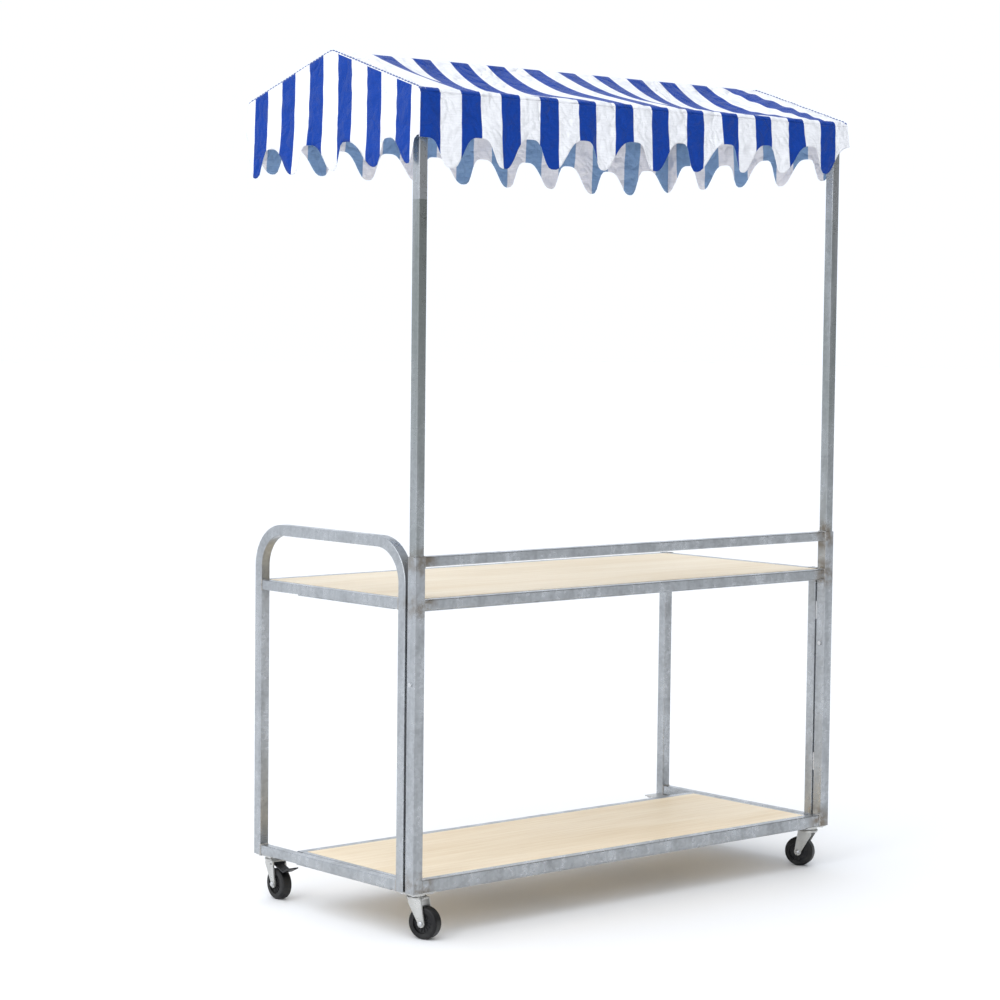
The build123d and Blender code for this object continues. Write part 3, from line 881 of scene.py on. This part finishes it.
@dataclass
class CanopyCover:
    """The striped cover: a sagging gable roof with gable ends and scalloped valances."""

    workshop: Workshop
    repeater: Repeater
    thickness: float = 0.8 * MM
    rest_gap: float = 1.2 * MM
    fold_radius: float = 7 * MM
    sag: float = 20 * MM
    sag_swing: float = 9 * MM
    flare: float = 4 * MM
    columns: int = 190
    rows_across: int = 84
    rows_down: int = 22
    stripe_pair: float = 102.4 * MM
    gable_pair: float = 93.5 * MM
    roof_pair: float = 100 * MM
    roof_start: float = 99 * MM
    edge_margin: float = 0.015
    gable_start: float = 25 * MM
    piping_inset: float = 3 * MM
    stitch_inset: float = 16 * MM
    seam_points: int = 120

    def __post_init__(self) -> None:
        """Take the sizes of the cover from the CAD model."""
        low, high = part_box("canopy_valances")
        rail_low, rail_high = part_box("ridge_rail")
        self.half_x = (high[0] - low[0]) / 2
        self.mid_y = (low[1] + high[1]) / 2
        self.half_y = (high[1] - low[1]) / 2
        self.eave_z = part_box("eave_rail_front")[1][2]
        self.rail_half = (rail_high[1] - rail_low[1]) / 2
        gap = 0.3 * MM
        self.slope = (rail_high[2] + gap - self.eave_z) / (self.half_y - self.rail_half)
        self.ridge_z = self.eave_z + self.slope * self.half_y
        self.hems = self._hems()

    def _hems(self) -> dict[Side, Hem]:
        """Lay out the uneven scallops of each side, from its left or back corner.

        Returns:
            The hem of each side.
        """
        length, width = 2 * self.half_x / MM, 2 * self.half_y / MM

        def level(places: Sequence[float], first: float, last: float,
                  span: float) -> list[tuple[float, float]]:
            """Give edge points heights that change evenly along a side.

            Args:
                places: distances along the side.
                first: height at its start.
                last: height at its end.
                span: length of the side.

            Returns:
                Each distance with its height.
            """
            return [(p, first + (last - first) * p / span) for p in places]

        front = Hem(level([0, 141, 278, 420, 556, 698, 830, 953, 1086, length], 1562, 1604, length),
                    level([84, 213, 346, 480, 626, 748, 882, 1002, 1146], 1503, 1545, length))
        left = Hem(level([0, 89, 222, 335, 471, width], 1556, 1566, width),
                   level([30, 165, 292, 425, 530], 1499, 1513, width), mirrored=True)
        right = Hem([(56, 1582), (180, 1579), (310, 1585), (436, 1583), (width, 1604)],
                    [(0, 1521), (114, 1525), (232, 1527), (365, 1525), (490, 1533)])
        back = Hem([(0, 1556), (120, 1568), (250, 1570), (380, 1571), (507, 1570), (645, 1572),
                    (776, 1571), (904, 1569), (1025, 1562), (1157, 1570)],
                   [(66, 1513), (189, 1515), (318, 1512), (450, 1516), (581, 1514), (715, 1513),
                    (844, 1515), (971, 1509), (1096, 1511), (length, 1521)],
                   mirrored=True)
        return {Side.FRONT: front, Side.BACK: back, Side.LEFT: left, Side.RIGHT: right}

    # -- roof ------------------------------------------------------------------------
    def roof_z(self, x: float, y: float) -> float:
        """Height of the roof's outer face.

        Args:
            x: place along the cart.
            y: place across the cart.

        Returns:
            The height in metres, with the sag, the ruffles and the folds at the edges.
        """
        d = abs(y - self.mid_y)
        u = min(d / self.half_y, 1.0)
        straight = self.ridge_z - self.slope * math.sqrt(d * d + (5 * MM) ** 2) + self.rest_gap
        inner = self.half_x - 44 * MM
        span = max(0.0, min(1.0, (inner - abs(x)) / (160 * MM)))
        span = span * span * (3 - 2 * span)
        v = max(0.0, (d - self.rail_half) / (self.half_y - self.rail_half))
        shape = v * (1 - v) ** 1.6 / 0.1768
        depth = self.sag + self.sag_swing * math.cos(2 * math.pi * (x + 0.300) / 0.62)
        ripple = noise.noise(Vector((x * 7, y * 11, 3.1))) * 2.4 * MM
        slack = span * (depth * shape + ripple * min(1.0, 6 * v) * (1 - v))
        ruffle = self._ruffle(x, d) * min(1.0, 8 * v * (1 - v))
        eave = max(0.0, 1 - (self.half_y - d) / self.fold_radius)
        fold = self.fold_radius * (1 - math.sqrt(max(0.0, 1 - eave * eave)))
        gable_fold = max(0.0, 1 - (self.half_x - abs(x)) / (3 * MM)) * 2 * MM
        return straight - slack + ruffle - fold - gable_fold

    def _ruffle(self, x: float, d: float) -> float:
        """Puckers where the cloth is gathered beside the right rafters.

        Args:
            x: place along the cart.
            d: distance from the ridge line.

        Returns:
            How far the cloth stands up there.
        """
        near = max(0.0, min(1.0, (x - 0.36) / 0.2))
        wave = math.sin(2 * math.pi * d / 0.052 + 2.2 * noise.noise(Vector((x * 5, d * 9, 8.8))))
        near *= min(1.0, (self.half_x - abs(x)) / (22 * MM))
        return near * 1.9 * MM * (wave + 1)

    # -- hanging sides -----------------------------------------------------------------
    def hanging_point(self, side: Side, s: float, t: float) -> Point:
        """A point on a side panel.

        Args:
            side: the side that the panel hangs on.
            s: distance along the side.
            t: from 0 at the roof to 1 at the edge.

        Returns:
            The point in metres.
        """
        length = 2 * (self.half_x if side in (Side.FRONT, Side.BACK) else self.half_y)
        from_corner = min(s, length - s)
        free = min(1.0, from_corner / (40 * MM))
        if side in (Side.FRONT, Side.BACK):
            x, sign = s - self.half_x, (-1 if side is Side.FRONT else 1)
            y = self.mid_y + sign * self.half_y
        else:
            sign = -1 if side is Side.LEFT else 1
            x, y = sign * self.half_x, self.mid_y + self.half_y - s
        top = self.roof_z(x, y)
        bottom = self.hems[side].height(s)
        z = top + (bottom - top) * t
        below = max(0.0, (self.eave_z - z) / (self.eave_z - bottom))
        seed = {Side.FRONT: 1.3, Side.BACK: 5.7, Side.LEFT: 9.1, Side.RIGHT: 13.9}[side]
        swing = noise.noise(Vector((s * 8, z * 3, seed))) * 5 * MM * below
        crease = abs(noise.noise(Vector((s * 16, z * 26, seed + 2)))) * 2.6 * MM
        tongue = math.sin(2 * math.pi * s / 0.21 + seed) * 2.4 * MM * below ** 2
        out = self.flare * below ** 1.3 + free * (swing + tongue + crease)
        out = max(out, 0.0)
        corner_out = self.flare * below ** 1.3 * (1 - min(1.0, from_corner / (25 * MM)))
        if side in (Side.FRONT, Side.BACK):
            along = -corner_out if s < length / 2 else corner_out
            return (x + along, y + sign * out, z)
        along = corner_out if s < length / 2 else -corner_out
        return (x + sign * out, y + along, z)

    def _side_stripe(self, side: Side, along: float) -> float:
        """Count stripe pairs along a hanging side; the back one starts half a pair on.

        Args:
            side: the hanging side.
            along: distance along it.

        Returns:
            The count; blue starts at each whole number.
        """
        if side in (Side.LEFT, Side.RIGHT):
            return (along - self.gable_start) / self.gable_pair
        return along / self.stripe_pair + (0.5 if side is Side.BACK else 0.0)

    def _roof_stripe(self, x: float, fold: Side | None) -> float:
        """Count stripe pairs along the roof, or along the fold at one of its eaves.

        Args:
            x: place along the cart.
            fold: the side whose fold this is, or None on the open roof.

        Returns:
            The count; blue starts at each whole number.
        """
        along = x + self.half_x
        if fold is not None:
            return self._side_stripe(fold, along)
        count = (along - self.roof_start) / self.roof_pair
        return min(ROOF_STRIPES - self.edge_margin, max(-self.edge_margin, count))

    # -- mesh --------------------------------------------------------------------------
    @staticmethod
    def _stations(half: float, count: int, fold: float) -> list[float]:
        """Places across the cover, closer together at its two folds.

        Args:
            half: half the width of the cover.
            count: how many places lie between the folds.
            fold: the width of a fold.

        Returns:
            The places in order.
        """
        inner = list(np.linspace(-half + fold, half - fold, count))
        edge = [half - fold * k for k in (0.0, 0.08, 0.22, 0.42, 0.68)]
        return [-e for e in edge] + inner + edge[::-1]

    def _mesh(self) -> bpy.types.Mesh:
        """Sew the roof, the two gables and the two valances into one sheet.

        Returns:
            The sheet, with the map that its stripes follow.
        """
        xs = self._stations(self.half_x, self.columns, 4 * MM)
        ys = [self.mid_y + y for y in self._stations(self.half_y, self.rows_across,
                                                     self.fold_radius)]
        verts: list[Point] = []
        index: dict[tuple[int, int, int], int] = {}

        def vertex(point: Point) -> int:
            """Find a point's vertex, or add it, so that panels share their edges.

            Args:
                point: the point in metres.

            Returns:
                The vertex's number.
            """
            key = tuple(round(c * 1e6) for c in point)
            if key not in index:
                index[key] = len(verts)
                verts.append(point)
            return index[key]

        faces: list[tuple[int, ...]] = []
        charts: list[tuple[tuple[float, float], ...]] = []

        def patch(points: list[list[Point]], chart: list[list[tuple[float, float]]],
                  flip: bool) -> None:
            """Add a grid of faces.

            Args:
                points: the grid's points.
                chart: the place of each point on the stripe map.
                flip: whether the faces are turned over.
            """
            for i in range(len(points) - 1):
                for j in range(len(points[0]) - 1):
                    ring = [(i, j), (i + 1, j), (i + 1, j + 1), (i, j + 1)]
                    if flip:
                        ring.reverse()
                    faces.append(tuple(vertex(points[a][b]) for a, b in ring))
                    charts.append(tuple(chart[a][b] for a, b in ring))

        roof = [[(x, y, self.roof_z(x, y)) for y in ys] for x in xs]
        fold = self.half_y - 0.95 * self.fold_radius
        for i in range(len(xs) - 1):
            for j in range(len(ys) - 1):
                ring = [(i, j), (i + 1, j), (i + 1, j + 1), (i, j + 1)]
                middle = (ys[j] + ys[j + 1]) / 2 - self.mid_y
                eave = Side.BACK if middle > 0 else Side.FRONT
                folded = eave if abs(middle) > fold else None
                faces.append(tuple(vertex(roof[a][b]) for a, b in ring))
                charts.append(tuple((self._roof_stripe(xs[a], folded), ys[b]) for a, b in ring))
        downs = np.linspace(0.0, 1.0, self.rows_down + 1)
        for side in Side:
            long_side = side in (Side.FRONT, Side.BACK)
            half = self.half_x if long_side else self.half_y
            marks = xs if long_side else [y - self.mid_y for y in ys]
            along = [m + half for m in marks] if long_side else [half - m for m in marks]
            points, chart = [], []
            for s in along:
                column = [self.hanging_point(side, s, t) for t in downs]
                shift = [noise.noise(Vector((s * 9, p[2] * 17, 4.4))) * 1.6 * MM for p in column]
                points.append(column)
                chart.append([(self._side_stripe(side, s + d), p[2])
                              for p, d in zip(column, shift)])
            patch(points, chart, flip=side in (Side.FRONT, Side.RIGHT))
        mesh = bpy.data.meshes.new("canopy_cloth")
        mesh.from_pydata(verts, [], faces)
        layer = mesh.uv_layers.new(name="Stripes")
        flat = [c for chart_face in charts for pair in chart_face for c in pair]
        layer.data.foreach_set("uv", flat)
        mesh.update()
        return mesh

    def build(self) -> None:
        """Make the cover and its stitching."""
        mesh = self._mesh()
        mesh.materials.append(self.workshop["cloth_face"])
        mesh.materials.append(self.workshop["cloth_back"])
        carrier = new_piece("canopy_cloth_carrier", mesh)
        wall = carrier.modifiers.new("Thickness", "SOLIDIFY")
        wall.thickness = self.thickness
        wall.offset = -1.0
        wall.material_offset = 1
        wall.material_offset_rim = 1
        seen = carrier.evaluated_get(bpy.context.evaluated_depsgraph_get())
        solid = bpy.data.meshes.new_from_object(seen)
        bpy.data.objects.remove(carrier)
        solid.shade_smooth()
        cover = new_piece("canopy_cover", solid)
        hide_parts("canopy_roof_front", "canopy_roof_back", "canopy_valances",
                    "canopy_gables")
        finish_piece(cover, "canopy")
        seams = self._seams()

    def _rafter_lines(self, inset: float, lift: float) -> list[list[Point]]:
        """Lines that run over the roof beside each gable, from eave to eave.

        Args:
            inset: how far inside the gable the line lies.
            lift: how far it stands above the cloth.

        Returns:
            One line for each gable.
        """
        across = np.linspace(-self.half_y + self.piping_inset, self.half_y - self.piping_inset,
                             self.seam_points)
        lines = []
        for side in (-1, 1):
            x = side * (self.half_x - inset)
            lines.append([(x, self.mid_y + y, self.roof_z(x, self.mid_y + y) + lift)
                          for y in across])
        return lines

    def _seams(self) -> list[bpy.types.Object]:
        """Pipe the rafter seams in blue and stitch beside them in white.

        Returns:
            The piping and the stitches.
        """
        piping = self.repeater.run("rafter_seam_piping", self.repeater.stitch_tree,
                                   self._rafter_lines(self.piping_inset, 0.5 * MM),
                                   "navy_thread", Size=1.8 * MM, Spacing=9.5 * MM, Stretch=2.2,
                                   Unevenness=0.08, Seed=3)
        rows = self.repeater.run("hem_stitches", self.repeater.stitch_tree,
                                 self._rafter_lines(self.stitch_inset, 0.2 * MM),
                                 "white_thread", Size=0.4 * MM, Spacing=4.2 * MM, Stretch=4.0,
                                 Unevenness=0.06, Seed=5)
        for piece in (piping, rows):
            finish_piece(piece, "canopy")
        return [piping, rows]


# ---- casters ------------------------------------------------------------------------
@dataclass
class CasterTrim:
    """Hub ribs, axle rivets and bearing dish of one caster."""

    name: str
    workshop: Workshop
    rib_count: int = 14
    rib_size: Point = (9.5 * MM, 1.3 * MM, 3.2 * MM)
    rib_middle: float = 13.6 * MM
    rib_face: float = 8.0 * MM
    rib_round: float = 0.25 * MM
    axle_half: float = 18.9 * MM
    rivet_radius: float = 5.2 * MM
    rivet_height: float = 2.6 * MM
    rivet_sink: float = 2.8 * MM
    dish_drop: float = 0.9 * MM

    def __post_init__(self) -> None:
        """Find the axle and the kingpin from the CAD model."""
        joints = {joint["name"]: joint for joint in frame["joints"]}
        spin = joints[f"wheel_spin_{self.name}"]
        self.axle = Vector(spin["pos_m"])
        self.axle_way = Vector(spin["axis"]).normalized()
        self.kingpin = Vector(joints[f"swivel_turn_{self.name}"]["pos_m"])
        self.turn = self.axle_way.to_track_quat("Z", "Y").to_matrix().to_4x4()

    def _place(self, shape: bmesh.types.BMesh, name: str, at: Matrix, finish: str,
               body: str) -> None:
        """Turn a shape into a piece at its place.

        Args:
            shape: the shape, which is used up.
            name: the piece's name.
            at: where it goes.
            finish: the finish's name.
            body: the body that carries it.
        """
        mesh = bpy.data.meshes.new(name)
        shape.to_mesh(mesh)
        shape.free()
        mesh.transform(at)
        mesh.materials.append(self.workshop[finish])
        mesh.shade_smooth()
        finish_piece(new_piece(name, mesh), body)

    def _hub_ribs(self) -> bmesh.types.BMesh:
        """Radial ribs on both faces of the hub.

        Returns:
            The ribs, about the axle.
        """
        shape = bmesh.new()
        for face in (-1, 1):
            for k in range(self.rib_count):
                angle = 2 * math.pi * k / self.rib_count
                made = bmesh.ops.create_cube(shape, size=1.0)["verts"]
                bmesh.ops.scale(shape, verts=made, vec=self.rib_size)
                bmesh.ops.translate(shape, verts=made, vec=(self.rib_middle, 0, face * self.rib_face))
                bmesh.ops.rotate(shape, verts=made, cent=(0, 0, 0),
                                 matrix=Matrix.Rotation(angle, 3, "Z"))
        bmesh.ops.bevel(shape, geom=shape.edges[:], offset=self.rib_round, segments=1,
                        affect="EDGES")
        return shape

    def build(self) -> None:
        """Make the pieces of this caster."""
        at_axle = Matrix.Translation(self.axle) @ self.turn
        self._place(self._hub_ribs(), f"hub_ribs_{self.name}", at_axle, "hub_plastic",
                    f"wheel_{self.name}")
        half, sunk = self.axle_half, self.axle_half - self.rivet_sink
        dome = [(0.0, half + self.rivet_height), (2.4 * MM, half + self.rivet_height * 0.92),
                (4.2 * MM, half + self.rivet_height * 0.62), (self.rivet_radius, half),
                (self.rivet_radius, sunk), (3.0 * MM, sunk), (0.0, sunk)]
        rivets = turned(dome, 28)
        far = rivets.copy()
        bmesh.ops.rotate(far, verts=far.verts, cent=(0, 0, 0),
                         matrix=Matrix.Rotation(math.pi, 3, "X"))
        spare = bpy.data.meshes.new("spare")
        far.to_mesh(spare)
        far.free()
        rivets.from_mesh(spare)
        bpy.data.meshes.remove(spare)
        self._place(rivets, f"axle_rivets_{self.name}", at_axle, "bright_zinc",
                    f"swivel_{self.name}")
        dish = [(14 * MM, 85.5 * MM), (19.6 * MM, 84.6 * MM), (20.6 * MM, 83.2 * MM),
                (20.6 * MM, 82.2 * MM), (19.4 * MM, 81.6 * MM), (15 * MM, 81.2 * MM),
                (14 * MM, 85.5 * MM)]
        at_pin = Matrix.Translation((self.kingpin.x, self.kingpin.y, 0.0))
        lowered = [(r, z - self.dish_drop) for r, z in dish]
        self._place(turned(lowered, 40), f"swivel_dish_{self.name}", at_pin, "fork_zinc",
                    f"swivel_{self.name}")


# ---- small frame trim ---------------------------------------------------------------
@dataclass
class LegCaps:
    """Welded caps that close the open tops of the right end frame's legs."""

    workshop: Workshop
    thickness: float = 1.6 * MM

    def build(self) -> None:
        """Make a bevelled cap on each leg."""
        for node in ("right_front_leg", "right_rear_leg"):
            low, high = (Vector(c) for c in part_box(node))
            shape = bmesh.new()
            made = bmesh.ops.create_cube(shape, size=1.0)["verts"]
            size = high - low
            bmesh.ops.scale(shape, verts=made, vec=(size.x - 1 * MM, size.y - 1 * MM,
                                                    self.thickness))
            bmesh.ops.translate(shape, verts=made, vec=((low.x + high.x) / 2,
                                (low.y + high.y) / 2, high.z + self.thickness / 2 - 0.6 * MM))
            bmesh.ops.bevel(shape, geom=shape.edges[:], offset=0.5 * MM, segments=2,
                            affect="EDGES")
            mesh = bpy.data.meshes.new(f"{node}_cap")
            shape.to_mesh(mesh)
            shape.free()
            mesh.materials.append(self.workshop["galvanised_tube"])
            finish_piece(new_piece(f"{node}_cap", mesh), "cart_frame")


# ---- studio -------------------------------------------------------------------------
@dataclass
class Studio:
    """Floor, lights and camera."""

    workshop: Workshop
    camera_at: Point = (-3.8429, -4.2514, 1.2072)
    yaw: float = -0.7144
    pitch: float = -0.0660
    roll: float = 0.0112
    lens: float = 95.93
    floor_reach: float = 60.0
    light_aim: Point = (0.0, 0.0, 0.9)
    light_size: float = 2.6
    left_power: float = 50.0
    front_power: float = 46.0
    sky_strength: float = 0.95
    sky_spread: float = 70.0
    sky_tilt: float = -14.0

    def _floor(self) -> None:
        """A large pale floor."""
        mesh = bpy.data.meshes.new("floor")
        reach = self.floor_reach
        mesh.from_pydata([(-reach, -reach, 0), (reach, -reach, 0), (reach, reach, 0),
                          (-reach, reach, 0)], [], [(0, 1, 2, 3)])
        mesh.materials.append(self.workshop["studio_floor"])
        new_piece("floor", mesh)

    def _camera(self) -> None:
        """The camera, from its place and its three turns."""
        ahead = Vector((-math.sin(self.yaw) * math.cos(self.pitch),
                        math.cos(self.yaw) * math.cos(self.pitch), math.sin(self.pitch)))
        right = ahead.cross(Vector((0, 0, 1))).normalized()
        up = right.cross(ahead)
        level_right = right * math.cos(self.roll) + up * math.sin(self.roll)
        level_up = up * math.cos(self.roll) - right * math.sin(self.roll)
        data = bpy.data.cameras.new("camera")
        data.lens = self.lens
        data.sensor_width = 36.0
        data.clip_end = 100.0
        camera = bpy.data.objects.new("camera", data)
        turn = Matrix((level_right, level_up, -ahead)).transposed().to_4x4()
        camera.matrix_world = Matrix.Translation(self.camera_at) @ turn
        bpy.context.scene.collection.objects.link(camera)
        bpy.context.scene.camera = camera

    def _area_light(self, name: str, at: Point, power: float) -> None:
        """A soft square light that looks at the cart.

        Args:
            name: the light's name.
            at: where it stands.
            power: its power in watts.
        """
        data = bpy.data.lights.new(name, "AREA")
        data.shape = "RECTANGLE"
        data.size = data.size_y = self.light_size
        data.energy = power
        lamp = bpy.data.objects.new(name, data)
        way = Vector(self.light_aim) - Vector(at)
        lamp.matrix_world = Matrix.Translation(at) @ way.to_track_quat("-Z", "Y").to_matrix().to_4x4()
        bpy.context.scene.collection.objects.link(lamp)

    @staticmethod
    def _world() -> None:
        """A pale surround, dimmer on the customers' side."""
        world = bpy.data.worlds.new("studio")
        world.use_nodes = True
        bpy.context.scene.world = world
        tree = Tree(world.node_tree)
        back = world.node_tree.nodes["Background"]
        way = tree.add("ShaderNodeTexCoord").outputs["Generated"]
        side = tree.add("ShaderNodeVectorMath", {"operation": "DOT_PRODUCT"}, i0=way,
                        i1=(-0.66, 0.75, 0.10)).outputs["Value"]
        shade = tree.ramp(side, -0.92, -0.20)
        tree.tree.links.new(tree.mix(shade, (0.16, 0.155, 0.14, 1.0), (1.0, 1.05, 1.13, 1.0)),
                            back.inputs["Color"])
        back.inputs["Strength"].default_value = 1.0

    def build(self) -> None:
        """Set up the studio."""
        self._floor()
        self._camera()
        self._world()
        bpy.context.scene.view_settings.view_transform = "Standard"
        self._area_light("key_left", (-4.5, -0.6, 3.2), self.left_power)
        self._area_light("key_front", (-2.6, -4.6, 3.4), self.front_power)
        sky = bpy.data.lights.new("sky_soft", "SUN")
        sky.energy, sky.angle = self.sky_strength, math.radians(self.sky_spread)
        lamp = bpy.data.objects.new("sky_soft", sky)
        lamp.matrix_world = Matrix.Rotation(math.radians(self.sky_tilt), 4, "Y")
        bpy.context.scene.collection.objects.link(lamp)
        LOG.info("studio ready")


def main() -> None:
    """Build the looks in order."""
    logging.basicConfig(level=logging.INFO, format="%(message)s")
    workshop = Workshop()
    workshop.dress_nodes()
    repeater = Repeater(workshop)
    CanopyCover(workshop, repeater).build()
    Welds(repeater).build()
    LegCaps(workshop).build()
    for corner in ("front_left", "front_right", "back_left", "back_right"):
        CasterTrim(corner, workshop).build()
    Studio(workshop).build()


if __name__ == "__main__":
    main()
